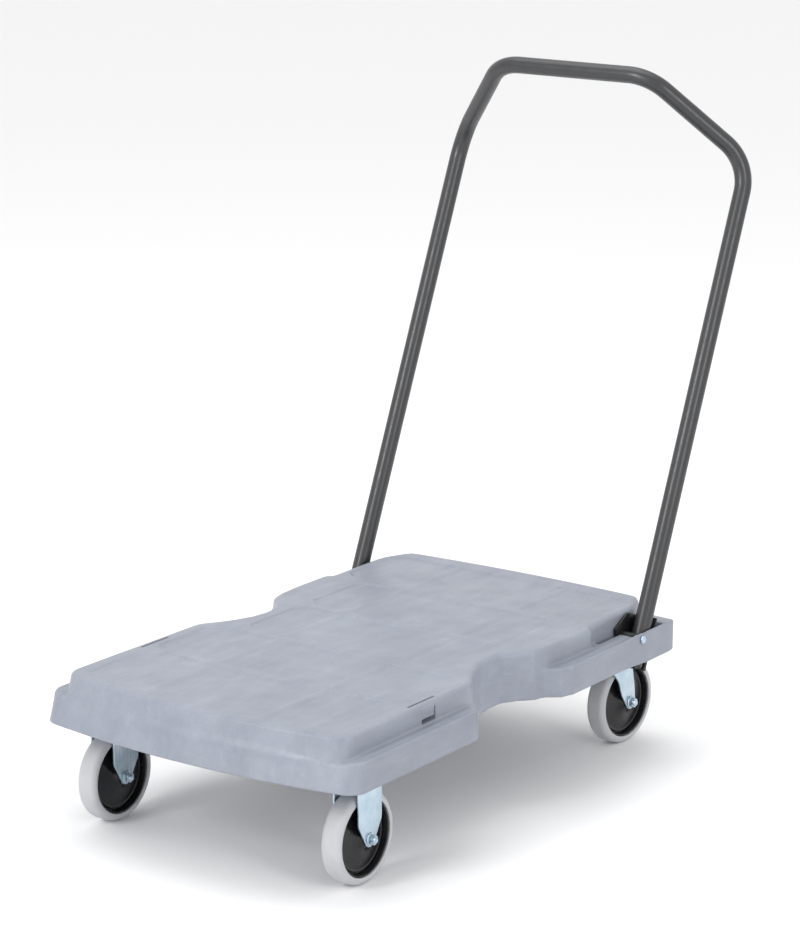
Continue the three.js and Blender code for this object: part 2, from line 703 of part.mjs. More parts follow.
function swivelFork() {
  const t = SWIVEL_CASTER.trail;
  const side = [[-25, 149], [-22, 136], [-9, 120], [3, 108], [10, 98], [13.5, 88], [18, 77],
    ...legTip(t, 205, 355), [t + 8, 90], [t + 3.5, 112], [t, 125], [t - 2, 149]];
  const legs = [-1, 1].map((s) => {
    const x0 = s > 0 ? FORK.inner : -FORK.outer;
    return plateX(side, x0, x0 + FORK.outer - FORK.inner);
  });
  const crown = box(-FORK.outer, FORK.outer, -25, t - 2, 142, 145);
  const cup = rod("z", 25, 144, 149, [0, 0, 0], 20);
  return cut(join([crown, cup, ...legs]), [
    rod("z", 6.3, 130, 170, [0, 0, 0], 16),
    rod("x", AXLE.r + GAP, -40, 40, [0, t, WHEEL.r], 14),
  ]);
}

function plateScrew(x, y) {
  return join([
    rod("z", SCREW.headR, PLATE.bottom - GAP - SCREW.headH, PLATE.bottom - GAP, [x, y, 0], 6),
    rod("z", SCREW.r, PLATE.bottom - 1, PLATE.bottom + SCREW.length, [x, y, 0], 8),
  ]);
}

function addWheel(name, group, y) {
  const at = (m) => place(m, 0, y, WHEEL.r);
  add(`${name}_tyre`, at(tyre()), TYRE_GREY, group);
  add(`${name}_hub`, at(hub()), HUB_BLACK, group);
  add(`${name}_axle_sleeve`, at(axleSleeve()), ZINC, group);
  add(`${name}_axle_bolt`, at(axleBolt()), ZINC, group);
  add(`${name}_axle_nut`, at(axleNut()), ZINC, group);
}

function addCaster({ name, x, y, swivels }) {
  const turning = new THREE.Group();
  turning.position.set(x, y, 0);
  if (swivels) {
    turning.rotation.z = SWIVEL_CASTER.yaw;
    add(`${name}_plate`, swivelPlate(x, y), ZINC);
    add(`${name}_ball_race`, ballRace(x, y), ZINC);
    add(`${name}_kingpin`, kingPin(x, y), ZINC);
    add(`${name}_fork`, swivelFork(), ZINC, turning);
    addWheel(name, turning, SWIVEL_CASTER.trail);
  } else {
    add(`${name}_fork`, fixedFork(x, y), ZINC);
    addWheel(name, turning, 0);
  }
  parts.add(turning);
  screwSpots(x, y).forEach(([sx, sy], k) => {
    add(`${name}_screw_${k + 1}`, plateScrew(sx, sy), ZINC);
  });
}

// ---------- assembly ----------
add("deck", deck(), GREY_PLASTIC);
add("handle_tube", handleTube(), BLACK_PAINT);
for (const [word, side] of [["left", -1], ["right", 1]]) {
  add(`foot_plug_${word}`, footPlug(side), BLACK_PART);
  add(`pivot_bracket_${word}`, pivotBracket(side), BLACK_PART);
  add(`cross_rivet_${word}`, crossRivet(side), ZINC);
  add(`pivot_bolt_${word}`, pivotBolt(side), ZINC);
  add(`pivot_nut_${word}`, pivotNut(side), ZINC);
  add(`detent_plunger_${word}`, detentPlunger(side), ZINC);
}
casterPlaces().forEach(addCaster);

const cart = new THREE.Group();
cart.add(parts);
cart.updateMatrixWorld(true);
const bounds = new THREE.Box3().setFromObject(cart);
parts.position.set(0, -(bounds.min.y + bounds.max.y) / 2, -bounds.min.z);

export default cart;
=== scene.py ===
"""The looks of a folding platform cart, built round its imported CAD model.

Shapes are worked out in millimetres in the cart's design frame: x = 0 is the centre plane, the
front is towards -Y and z = 0 is the floor. `row` turns such a point into the CAD row's metres.
"""
import json
import math

import bmesh
import bpy
import numpy as np
from mathutils import Matrix, Vector


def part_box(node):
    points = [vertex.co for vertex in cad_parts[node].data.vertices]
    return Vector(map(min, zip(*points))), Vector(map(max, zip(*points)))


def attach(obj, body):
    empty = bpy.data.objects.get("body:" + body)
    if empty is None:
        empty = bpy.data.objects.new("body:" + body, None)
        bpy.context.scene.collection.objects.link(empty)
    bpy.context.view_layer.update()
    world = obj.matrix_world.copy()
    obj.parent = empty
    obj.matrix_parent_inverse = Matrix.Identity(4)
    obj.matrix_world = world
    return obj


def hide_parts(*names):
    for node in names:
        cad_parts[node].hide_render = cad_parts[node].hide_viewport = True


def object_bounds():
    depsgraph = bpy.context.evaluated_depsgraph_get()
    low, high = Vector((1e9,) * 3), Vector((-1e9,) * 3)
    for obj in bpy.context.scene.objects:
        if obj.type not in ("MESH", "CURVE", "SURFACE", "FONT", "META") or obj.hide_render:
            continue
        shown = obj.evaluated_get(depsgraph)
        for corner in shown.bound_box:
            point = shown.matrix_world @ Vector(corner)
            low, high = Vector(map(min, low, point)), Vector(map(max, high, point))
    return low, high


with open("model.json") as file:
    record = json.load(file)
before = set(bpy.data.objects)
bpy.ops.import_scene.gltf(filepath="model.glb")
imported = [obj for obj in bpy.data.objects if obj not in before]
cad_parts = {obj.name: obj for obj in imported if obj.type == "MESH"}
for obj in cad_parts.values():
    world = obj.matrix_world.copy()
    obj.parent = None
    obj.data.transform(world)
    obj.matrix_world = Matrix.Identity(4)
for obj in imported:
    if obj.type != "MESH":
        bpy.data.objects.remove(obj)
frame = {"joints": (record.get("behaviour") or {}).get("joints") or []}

CAD_BOX = [list(corner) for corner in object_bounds()]
MM = 0.001

# ---------- places, from the CAD ----------


def middle(node):
    """The centre of a CAD node's box, in the row's millimetres."""
    low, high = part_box(node)
    return (low + high) / 2 / MM


DECK_LOW, DECK_HIGH = (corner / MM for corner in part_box("deck"))
DECK_FRONT = -401.0
SHIFT = DECK_LOW.y - DECK_FRONT  # from the design frame to the row, along Y
JOINTS = {joint["name"]: joint for joint in frame["joints"]}
BOTTOM, TOP = DECK_LOW.z, DECK_HIGH.z
BULGE_X = DECK_HIGH.x
WHEEL_R = middle("front_right_tyre").z
PIVOT_Y = JOINTS["handle_fold"]["pos_m"][1] / MM - SHIFT
PIVOT_Z = JOINTS["handle_fold"]["pos_m"][2] / MM

# ---------- driving dimensions, as in the CAD ----------
HALF_WIDTH = 260.35
LEDGE = 190.9
REAR = 424.0
BOW_FRONT, BOW_REAR = 3.95e-4, 2.1e-4
CORNER_R = 28.0  # the front corners, seen from above
DRAFT_FRONT, DRAFT_REAR = 12.7, 2.0  # how far the skirt leans in up to the ledge
PLATFORM_FOOT = 186.9
# the platform's half width, front and rear, at its foot and at its top
PLATFORM_LOW, PLATFORM_HIGH = (236, -389.2, 421), (234, -379.2, 418.5)
WALL, ROOF = 5, 6.5
PANELS, PANEL_FRONT, PANEL_LENGTH, PANEL_LAND = 5, -352, 134.0, 16.0
PANEL_WIDE, PANEL_NARROW, PANEL_DEPTH = 213, 170, 2.0  # half widths; narrow at the waist
PANEL_RIB_X, PANEL_RIB_HALF = 92, 5
RIBS_X, RIBS_Y, RIB_HALF, RIB_LOW = (-110, 0, 110), (-210, -60, 90, 240), 2, 166
CASTER_PADS, PAD_HALF = ((204, -294.5), (181.5, 350)), (36.5, 50)
POCKET_FRONT, POCKET_REAR, SLOT_FRONT = 297.0, 376.0, 252
CREST, CREST_FALL = 6.2, 2.5  # the side wall's height over the ledge, and its fall to the rear
SCOOP = 5.5  # how much lower the ledge is at the front corners
# the spring catch: ranges across and up, and the middle and half length of each part along Y
TAB_X, TAB_Z, TAB_Y = (230, 236.0), (199.4, 214.5), (-181, 14.5)
GAP_X, GAP_Z, GAP_Y = (224, 242), (193.2, 199.4), (-178.8, 15.6)
CUT_X, CUT_Z, CUT_Y = (229, 242), (193.2, 211), (-164.4, 1.9)
SLIT_X, SLIT_Y, SLIT_DEPTH = (222.3, 225.4), (-211, -150), 16
# the side recess's wall from front to rear, below the ledge and above it
RECESS_LOW = [
    (262, -97), (249, -91), (235, -75), (221, -52), (210, -29), (203, -6), (200, 21), (200, 46),
    (212, 77), (229, 101), (254, 120), (258.5, 137), (262, 141),
]
RECESS_HIGH = [
    (262, -97), (249, -91), (235, -75), (219, -53), (205, -28), (194.5, 0), (191.5, 26),
    (194.5, 53), (211, 76), (226, 92.5), (233, 114), (238, 146), (262, 149),
]
STEP_X = 225.0
LEAN = math.radians(23.2)
TUBE_R, BORE_R, LEG_X, BEND_R = 12.7, 11.1, 249.5, 70.0
OFFSET = 17.1
FOOT = 38.0
ELBOW = (611.5, 834.5)
GRIP = (128.3, 526.8, 959.1)
FORK_IN, FORK_OUT, FORK_HALF, TIP_R = 18.0, 21.0, 25.5, 10.8
PLATE_TOP, PLATE_BOTTOM, PLATE_HALF = 160.0, 157.0, (33.5, 46)
GAP = 0.3  # between pieces that touch on the real cart
BARREL_R, RIVET_U = 6.9, -15
AXLE_HEX = PIVOT_HEX = 13
SCREW_HEX = 11


def on_leg(u, v):
    """The (y, z) that is u up the leg from the pivot's level and v behind the leg's axis."""
    b = v + OFFSET
    return (
        PIVOT_Y + u * math.sin(LEAN) + b * math.cos(LEAN),
        PIVOT_Z + u * math.cos(LEAN) - b * math.sin(LEAN),
    )


# the camera: focal length and height of the picture in pixels, turns in degrees, place in mm
FOCAL, PICTURE_HEIGHT, SENSOR = 3199.41, 942, 36
CAMERA_TURNS = (34.98, 14.16, 0.31)
CAMERA_PLACE = (2482.95, -3459.73, 1534.65)

# ---------- materials ----------


def material(name, color, roughness, metallic=0.0):
    """A new material and its shader; node helpers add the grain."""
    m = bpy.data.materials.new(name)
    m.use_nodes = True
    shader = m.node_tree.nodes["Principled BSDF"]
    shader.inputs["Base Color"].default_value = (*color, 1)
    shader.inputs["Roughness"].default_value = roughness
    shader.inputs["Metallic"].default_value = metallic
    return m, shader


def noise(m, scale, detail=3.0, stretch=(1, 1, 1), rough=0.5):
    tree = m.node_tree
    place = tree.nodes.new("ShaderNodeTexCoord")
    mapping = tree.nodes.new("ShaderNodeMapping")
    mapping.inputs["Scale"].default_value = stretch
    n = tree.nodes.new("ShaderNodeTexNoise")
    n.inputs["Scale"].default_value = scale
    n.inputs["Detail"].default_value = detail
    n.inputs["Roughness"].default_value = rough
    tree.links.new(place.outputs["Object"], mapping.inputs["Vector"])
    tree.links.new(mapping.outputs["Vector"], n.inputs["Vector"])
    return n.outputs["Fac"]


def ramp(m, fac, stops):
    """Maps a value through colours, given as (position, (r, g, b))."""
    r = m.node_tree.nodes.new("ShaderNodeValToRGB")
    while len(r.color_ramp.elements) < len(stops):
        r.color_ramp.elements.new(0.5)
    for element, (position, color) in zip(r.color_ramp.elements, stops):
        element.position = position
        element.color = (*color, 1)
    m.node_tree.links.new(fac, r.inputs["Fac"])
    return r.outputs["Color"]


def spread(m, fac, low, high):
    """Maps 0.3 to 0.7 of a noise to low to high."""
    r = m.node_tree.nodes.new("ShaderNodeMapRange")
    r.inputs["From Min"].default_value = 0.3
    r.inputs["From Max"].default_value = 0.7
    r.inputs["To Min"].default_value = low
    r.inputs["To Max"].default_value = high
    m.node_tree.links.new(fac, r.inputs["Value"])
    return r.outputs["Result"]


def multiplied(m, a, b):
    """One colour times another."""
    mix = m.node_tree.nodes.new("ShaderNodeMix")
    mix.data_type = "RGBA"
    mix.blend_type = "MULTIPLY"
    mix.inputs["Factor"].default_value = 1.0
    m.node_tree.links.new(a, mix.inputs["A"])
    m.node_tree.links.new(b, mix.inputs["B"])
    return mix.outputs["Result"]


def bump(m, shader, heights):
    """Chains bumps of (height output, strength, distance in metres) into the shader's normal."""
    normal = None
    for height, strength, distance in heights:
        node = m.node_tree.nodes.new("ShaderNodeBump")
        node.inputs["Strength"].default_value = strength
        node.inputs["Distance"].default_value = distance
        m.node_tree.links.new(height, node.inputs["Height"])
        if normal is not None:
            m.node_tree.links.new(normal, node.inputs["Normal"])
        normal = node.outputs["Normal"]
    m.node_tree.links.new(normal, shader.inputs["Normal"])


def shade(color, k):
    return tuple(min(c * k, 1) for c in color)


def deck_plastic():
    """Grey-blue structural foam: soft clouds, a fine pebble and faint flow swirls."""
    base = (0.258, 0.28, 0.332)
    m, s = material("deck_plastic", base, 0.5)
    clouds = ramp(m, noise(m, 9, 5), [(0.3, shade(base, 0.93)), (0.7, shade(base, 1.05))])
    flow = ramp(
        m,
        noise(m, 16, 7, (1, 0.35, 1), 0.65),
        [(0.35, (0.92, 0.92, 0.93)), (0.62, (1.04, 1.04, 1.03))],
    )
    streaks = ramp(
        m,
        noise(m, 60, 8, (1, 0.18, 0.6), 0.7),
        [(0.36, (0.94, 0.94, 0.945)), (0.55, (1.0, 1.0, 1.0)), (0.72, (1.11, 1.11, 1.1))],
    )
    speckle = ramp(m, noise(m, 700, 2), [(0.35, (0.95, 0.95, 0.95)), (0.6, (1.02, 1.02, 1.02))])
    color = multiplied(m, multiplied(m, multiplied(m, clouds, flow), speckle), streaks)
    m.node_tree.links.new(color, s.inputs["Base Color"])
    m.node_tree.links.new(spread(m, noise(m, 24, 4), 0.34, 0.5), s.inputs["Roughness"])
    bump(m, s, [(noise(m, 14, 3), 0.25, 0.0012), (noise(m, 620, 3), 0.22, 0.00025)])
    return m


def tube_paint():
    """Satin charcoal powder coat with a slight orange peel."""
    base = (0.019, 0.0195, 0.022)
    m, s = material("tube_paint", base, 0.3)
    s.inputs["Specular IOR Level"].default_value = 0.72
    tone = ramp(m, noise(m, 60, 4), [(0.3, shade(base, 0.88)), (0.7, shade(base, 1.1))])
    m.node_tree.links.new(tone, s.inputs["Base Color"])
    m.node_tree.links.new(spread(m, noise(m, 90, 3), 0.3, 0.4), s.inputs["Roughness"])
    bump(m, s, [(noise(m, 520, 3), 0.3, 0.0002)])
    return m


def black_fittings():
    base = (0.007, 0.007, 0.008)
    m, s = material("black_fittings", base, 0.4)
    s.inputs["Specular IOR Level"].default_value = 0.35
    tone = ramp(m, noise(m, 80, 4), [(0.3, shade(base, 0.8)), (0.7, shade(base, 1.4))])
    m.node_tree.links.new(tone, s.inputs["Base Color"])
    m.node_tree.links.new(spread(m, noise(m, 120, 3), 0.34, 0.5), s.inputs["Roughness"])
    bump(m, s, [(noise(m, 400, 3), 0.2, 0.0002)])
    return m


def zinc_plate():
    """Bright bluish zinc plate with faint drawing marks."""
    base = (0.47, 0.585, 0.665)
    m, s = material("zinc_plate", base, 0.34, 0.8)
    tone = ramp(
        m,
        noise(m, 45, 5),
        [(0.3, (0.4, 0.52, 0.61)), (0.5, base), (0.7, (0.56, 0.645, 0.73))],
    )
    m.node_tree.links.new(tone, s.inputs["Base Color"])
    marks = noise(m, 300, 3, (1, 1, 0.05))
    m.node_tree.links.new(spread(m, marks, 0.2, 0.36), s.inputs["Roughness"])
    bump(m, s, [(marks, 0.12, 0.00012), (noise(m, 60, 3), 0.1, 0.0003)])
    return m


def hub_plastic():
    base = (0.007, 0.007, 0.0085)
    m, s = material("hub_plastic", base, 0.3)
    s.inputs["Specular IOR Level"].default_value = 0.4
    tone = ramp(m, noise(m, 50, 4), [(0.3, shade(base, 0.85)), (0.7, shade(base, 1.2))])
    m.node_tree.links.new(tone, s.inputs["Base Color"])
    m.node_tree.links.new(spread(m, noise(m, 70, 3), 0.2, 0.3), s.inputs["Roughness"])
    bump(m, s, [(noise(m, 500, 2), 0.15, 0.00015)])
    return m


def tyre_rubber():
    """Smooth light grey non-marking rubber, a little scuffed on the tread."""
    base = (0.455, 0.46, 0.48)
    m, s = material("tyre_rubber", base, 0.48)
    tone = ramp(m, noise(m, 30, 5), [(0.3, shade(base, 0.94)), (0.7, shade(base, 1.04))])
    m.node_tree.links.new(tone, s.inputs["Base Color"])
    m.node_tree.links.new(spread(m, noise(m, 55, 4), 0.42, 0.58), s.inputs["Roughness"])
    bump(m, s, [(noise(m, 380, 3), 0.15, 0.0002)])
    return m


MATERIALS = {
    make.__name__: make()
    for make in (deck_plastic, tube_paint, black_fittings, zinc_plate, hub_plastic, tyre_rubber)
}

# ---------- mesh helpers, in design millimetres ----------

ON_AXIS = 1e-4  # the least radius of a ring, welded to a point afterwards
WELD = 1e-3


class Shape:
    """A mesh being built: closed parts are added to one bmesh."""

    def __init__(self):
        self.bm = bmesh.new()

    def add(self, verts, faces):
        made = [self.bm.verts.new(v) for v in verts]
        return [self.bm.faces.new([made[i] for i in f]) for f in faces]


def ring_skin(shape, rings, caps=True, closed=False):
    """Joins rings of equal length; `caps` closes both ends, `closed` joins last to first."""
    n = len(rings[0])
    verts = [p for ring in rings for p in ring]
    count = len(rings)
    faces = []
    for k in range(count if closed else count - 1):
        for i in range(n):
            j = (i + 1) % n
            a, b = k * n, ((k + 1) % count) * n
            faces.append((a + i, a + j, b + j, b + i))
    if caps and not closed:
        faces.append(tuple(range(n - 1, -1, -1)))
        faces.append(tuple((count - 1) * n + i for i in range(n)))
    return shape.add(verts, faces)


def prism(shape, outline, axis, low, high, bevel=0.0, segments=2):
    """Extrudes an outline along axis from low to high and rounds its sharp edges.

    The outline is [(y, z), ...] along X, and [(x, y), ...] along Z."""
    part = Shape()
    if axis == "x":
        rings = [[(level, a, b) for a, b in outline] for level in (low, high)]
    else:
        rings = [[(a, b, level) for a, b in outline] for level in (low, high)]
    ring_skin(part, rings)
    merge(shape, part, bevel, segments)


def merge(shape, part, bevel=0.0, segments=2, sharp=30):
    """Moves a part into a shape, with its edges over `sharp` degrees bevelled."""
    bmesh.ops.recalc_face_normals(part.bm, faces=part.bm.faces)
    if bevel:
        edges = [
            e
            for e in part.bm.edges
            if len(e.link_faces) == 2 and e.calc_face_angle(0) > math.radians(sharp)
        ]
        bmesh.ops.bevel(
            part.bm,
            geom=edges,
            offset=bevel,
            segments=segments,
            affect="EDGES",
            profile=0.5,
            clamp_overlap=True,
        )
    scratch = bpy.data.meshes.new("scratch")
    part.bm.to_mesh(scratch)
    part.bm.free()
    shape.bm.from_mesh(scratch)
    bpy.data.meshes.remove(scratch)


def circle(r, n, start=0.0):
    return [
        (r * math.cos(start + 2 * math.pi * k / n), r * math.sin(start + 2 * math.pi * k / n))
        for k in range(n)
    ]


def arc(cy, cz, r, start, end, steps):
    """Points round (cy, cz) from `start` to `end` degrees."""
    turns = [math.radians(start + (end - start) * k / steps) for k in range(steps + 1)]
    return [(cy + r * math.cos(t), cz + r * math.sin(t)) for t in turns]


def turned(shape, profile, axis, centre, segments=48, closed=True):
    """Turns (along, radius) points about an axis through centre. A radius of 0 is on the axis."""
    part = Shape()
    rings = []
    for along, r in profile:
        ring = []
        for c, s in circle(max(r, ON_AXIS), segments):
            ring.append(Vector((along, c, s)) if axis == "x" else Vector((c, s, along)))
        rings.append([p + Vector(centre) for p in ring])
    ring_skin(part, rings, caps=not closed, closed=closed)
    bmesh.ops.remove_doubles(part.bm, verts=part.bm.verts, dist=WELD)
    merge(shape, part)


def rounded(profile, r, steps=4):
    """Rounds the inner corners of an open (along, radius) profile with arcs of about r."""
    out = [profile[0]]
    for before, here, after in zip(profile, profile[1:], profile[2:]):
        a, b, c = Vector(before), Vector(here), Vector(after)
        reach = min(r, (a - b).length * 0.45, (c - b).length * 0.45)
        start, end = b + (a - b).normalized() * reach, b + (c - b).normalized() * reach
        for k in range(steps + 1):
            t = k / steps
            out.append(tuple(start * (1 - t) ** 2 + b * 2 * t * (1 - t) + end * t * t))
    out.append(profile[-1])
    return out


def swept(shape, line, sections):
    """Sweeps closed radii along a centreline. `sections` gives (index in line, radius)."""
    part = Shape()
    sides = 40
    normals = []
    normal = Vector((0, 1, 0))
    for i, p in enumerate(line):
        tangent = (line[min(i + 1, len(line) - 1)] - line[max(i - 1, 0)]).normalized()
        normal = (normal - tangent * normal.dot(tangent)).normalized()
        normals.append((normal.copy(), tangent.cross(normal)))
    rings = []
    for i, r in sections:
        n, b = normals[i]
        rings.append([line[i] + n * (r * c) + b * (r * s) for c, s in circle(1, sides)])
    ring_skin(part, rings, caps=False, closed=True)
    merge(shape, part)


def hexagon(shape, axis_from, axis_to, flats, centre, chamfer=0.9):
    """A hexagonal head or nut along X, with its outer corners turned down."""
    part = Shape()
    steps = 8
    outline = []
    for side in range(6):
        for k in range(steps):
            a = math.radians(60 * side + 60 * k / steps + 30)
            fold = math.radians((60 * k / steps) - 30)
            outline.append((a, flats / 2 / math.cos(fold)))
    cut = [min(r, flats / 2 * 0.99) for _, r in outline]
    sign = 1 if axis_to > axis_from else -1
    levels = [(axis_from, None), (axis_to - sign * chamfer, None), (axis_to, cut)]
    rings = []
    for along, radii in levels:
        ring = []
        for index, (a, r) in enumerate(outline):
            r = radii[index] if radii else r
            ring.append(Vector((along, r * math.cos(a), r * math.sin(a))) + Vector(centre))
        rings.append(ring)
    ring_skin(part, rings)
    merge(shape, part)


def piece(name, shape, body, slot, replaced=(), spin=None, sharp=38):
    """Makes a shape into a piece on a body; spin is (angle, x, y) about Z in design space."""
    bm = shape.bm
    if spin:
        angle, x, y = spin
        about = Matrix.Translation((x, y, 0)) @ Matrix.Rotation(angle, 4, "Z")
        bmesh.ops.transform(bm, matrix=about, verts=bm.verts)
    to_row = Matrix.Scale(MM, 4) @ Matrix.Translation((0, SHIFT, 0))
    bmesh.ops.transform(bm, matrix=to_row, verts=bm.verts)
    bmesh.ops.recalc_face_normals(bm, faces=bm.faces)
    for face in bm.faces:
        face.smooth = True
    for edge in bm.edges:
        edge.smooth = edge.calc_face_angle(0) < math.radians(sharp)
    mesh = bpy.data.meshes.new(name)
    bm.to_mesh(mesh)
    bm.free()
    obj = bpy.data.objects.new(name, mesh)
    bpy.context.scene.collection.objects.link(obj)
    mesh.materials.append(MATERIALS[slot])
    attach(obj, body)
    if replaced:
        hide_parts(*replaced)


# ---------- the deck, as a field of distances turned into a skin ----------


def graded(*stretches):
    """Grid lines from stretches of (start, end, step)."""
    lines = [np.arange(a, b - step * 0.3, step) for a, b, step in stretches]
    return np.concatenate([*lines, [stretches[-1][1]]])


def mirrored(lines):
    return np.concatenate([-lines[:0:-1], lines])


def polygon_distance(outline, x, y):
    """Signed distance to a polygon's edge, negative inside."""
    nearest = np.full(x.shape, 1e9)
    inside = np.zeros(x.shape, bool)
    for (ax, ay), (bx, by) in zip(outline, outline[1:] + outline[:1]):
        ex, ey = bx - ax, by - ay
        t = np.clip(((x - ax) * ex + (y - ay) * ey) / (ex * ex + ey * ey), 0, 1)
        nearest = np.minimum(nearest, np.hypot(x - ax - t * ex, y - ay - t * ey))
        if ey != 0:
            crosses = (ay > y) != (by > y)
            inside ^= crosses & (x < ax + (y - ay) / ey * ex)
    return np.where(inside, -nearest, nearest)


def box_distance(x, y, x0, x1, y0, y1):
    dx = np.abs(x - (x0 + x1) / 2) - (x1 - x0) / 2
    dy = np.abs(y - (y0 + y1) / 2) - (y1 - y0) / 2
    return np.hypot(np.maximum(dx, 0), np.maximum(dy, 0)) + np.minimum(np.maximum(dx, dy), 0)


def common(a, b, r):
    """What is inside both, with an outer edge rounded to r."""
    u, v = np.maximum(a + r, 0), np.maximum(b + r, 0)
    return np.minimum(np.maximum(a, b), -r) + np.hypot(u, v)


def either(a, b, r):
    """What is inside one or the other, with the inner corner filled to r."""
    u, v = np.maximum(r - a, 0), np.maximum(r - b, 0)
    return np.maximum(np.minimum(a, b), r) - np.hypot(u, v)


def smooth(t, low, high):
    t = np.clip((t - low) / (high - low), 0, 1)
    return t * t * (3 - 2 * t)


def surface_net(field, axes):
    """Vertices and quads of the skin between a field's negative and positive places."""
    inside = field < 0
    corners = np.zeros(tuple(n - 1 for n in field.shape), np.int8)
    for a in (0, 1):
        for b in (0, 1):
            for c in (0, 1):
                nx, ny, nz = corners.shape
                corners += inside[a : a + nx, b : b + ny, c : c + nz]
    active = (corners > 0) & (corners < 8)
    cells = np.argwhere(active)
    number = np.full(active.shape, -1, np.int64)
    number[active] = np.arange(len(cells))
    total = np.zeros((len(cells), 3))
    count = np.zeros(len(cells))
    for axis in range(3):
        u, v = (axis + 1) % 3, (axis + 2) % 3
        for a in (0, 1):
            for b in (0, 1):
                start = cells.copy()
                start[:, u] += a
                start[:, v] += b
                end = start.copy()
                end[:, axis] += 1
                f0, f1 = field[tuple(start.T)], field[tuple(end.T)]
                hit = (f0 < 0) != (f1 < 0)
                t = f0[hit] / (f0[hit] - f1[hit])
                where = np.stack([axes[k][start[hit, k]] for k in range(3)], 1)
                step = axes[axis][end[hit, axis]] - axes[axis][start[hit, axis]]
                where[:, axis] += t * step
                total[hit] += where
                count[hit] += 1
    verts = total / count[:, None]
    quads = []
    for axis in range(3):
        low = np.take(inside, range(inside.shape[axis] - 1), axis)
        high = np.take(inside, range(1, inside.shape[axis]), axis)
        edges = np.argwhere(low != high)
        u, v = np.zeros(3, int), np.zeros(3, int)
        u[(axis + 1) % 3], v[(axis + 2) % 3] = 1, 1
        around = [edges - u - v, edges - v, edges, edges - u]
        quad = np.stack([number[tuple(cell.T)] for cell in around], 1)
        out = low[tuple(edges.T)]
        quads.append(np.where(out[:, None], quad, quad[:, ::-1]))
    return verts, np.concatenate(quads)


def both_sides(right):
    return right + [(-x, y) for x, y in reversed(right)]


def bulge_x(y):
    """How far out the side wall stands beside the handle's foot."""
    rise = smooth(y, 270, 336)
    fall = 1 - 0.3 * smooth(y, 385, 408)
    return HALF_WIDTH - 0.2 + (BULGE_X - HALF_WIDTH + 0.2) * np.minimum(rise, fall)


def skirt_outline(front, rear):
    rear_r, rear_x, rear_end = 6.0, 264, 408.5
    corner = HALF_WIDTH - CORNER_R

    def front_y(x):
        return front + BOW_FRONT * x * x

    def rear_y(x):
        return rear - BOW_REAR * x * x

    right = [(x, front_y(x)) for x in range(8, int(corner), 16)]
    right += arc(corner, front_y(corner) + CORNER_R, CORNER_R, -79, 0, 10)
    right += [(float(bulge_x(y)), float(y)) for y in range(270, 403, 3)]
    right += arc(rear_x - rear_r, rear_end - rear_r, rear_r, 0, 80, 6)
    right += [(x, rear_y(x)) for x in range(236, 0, -16)]
    return both_sides(right)


def platform_outline(half, front, rear):
    corner = half - CORNER_R

    def front_y(x):
        return front + BOW_FRONT * x * x

    def rear_y(x):
        return rear - BOW_REAR * x * x

    right = [(x, front_y(x)) for x in range(8, int(corner), 16)]
    right += arc(corner, front_y(corner) + CORNER_R, CORNER_R, -79, 0, 10)
    right += [(half, 224), (half - 2, 229), (STEP_X + 1, 235), (STEP_X, 238), (STEP_X, 350)]
    right += [(STEP_X - 2, 362), (STEP_X - 8, 378), (208, 399), (200, rear_y(200) - 1.5)]
    right += [(x, rear_y(x)) for x in range(188, 0, -16)]
    return both_sides(right)


def pocket_outline():
    """The right pocket, up to a side wall 2 mm thick."""
    right = [(STEP_X, POCKET_FRONT)]
    right += [(float(min(bulge_x(y) - 2, 263)), float(y)) for y in range(297, 377, 4)]
    right += [(float(min(bulge_x(POCKET_REAR) - 2, 263)), POCKET_REAR), (STEP_X, POCKET_REAR)]
    return right


def recess(wall):
    """A side recess's space as a polygon that runs out past the deck's side."""
    return wall + [(300, wall[-1][1]), (300, wall[0][1])]


def panel_depth(x, y):
    """How far the top is sunk at each place: five panels between the rim and the lands."""
    ax = np.abs(x)
    panel = np.full(ax.shape[:2] + (1,), 1e9)
    for k in range(PANELS):
        first, waist = k == 0, k in (2, 3)
        y0 = PANEL_FRONT + k * (PANEL_LENGTH + PANEL_LAND)
        front = y0 - (12 if first else 0)
        wide = PANEL_NARROW if waist else PANEL_WIDE
        bowed = y - (BOW_FRONT * x * x if first else 0)
        flat = box_distance(x, bowed, -wide, wide, front, y0 + PANEL_LENGTH)[:, :, :1]
        diagonal = ax + np.abs(y - y0 - PANEL_LENGTH / 2) - wide - PANEL_LENGTH / 2 + 16
        panel = np.minimum(panel, np.maximum(flat, diagonal[:, :, :1] * 0.71))
    panel = np.maximum(panel, PANEL_RIB_HALF - np.abs(ax[:, :, :1] - PANEL_RIB_X))
    return PANEL_DEPTH * (1 - smooth(panel, -3.0, 0.5))


def hollow(x, y, z, skirt, raised, sunk, well):
    """The space underneath, without the ribs, caster pads and pocket walls left standing."""
    ax = np.abs(x)
    under_ledge = common(skirt + WALL, z - LEDGE + WALL, 1)
    space = either(under_ledge, common(raised + WALL, z - (TOP - ROOF - sunk), 1), 1)
    kept = [np.maximum(np.abs(x - rib) - RIB_HALF, RIB_LOW - z) for rib in RIBS_X]
    kept += [np.maximum(np.abs(y - rib) - RIB_HALF, RIB_LOW - z) for rib in RIBS_Y]
    half_x, half_y = PAD_HALF
    for cx, cy in CASTER_PADS:
        pad = box_distance(ax, y, cx - half_x, cx + half_x, cy - half_y, cy + half_y)
        kept.append(np.maximum(pad, PLATE_TOP + GAP - z))
    kept.append(box_distance(ax, y, STEP_X - 4, 275, SLOT_FRONT - 4, POCKET_REAR + 5))
    kept.append(well - WALL)
    kept.append(np.maximum(box_distance(ax, y, 219, 250, -202, -150), 185 - z))
    for solid in kept:
        space = np.maximum(space, -solid)
    return space


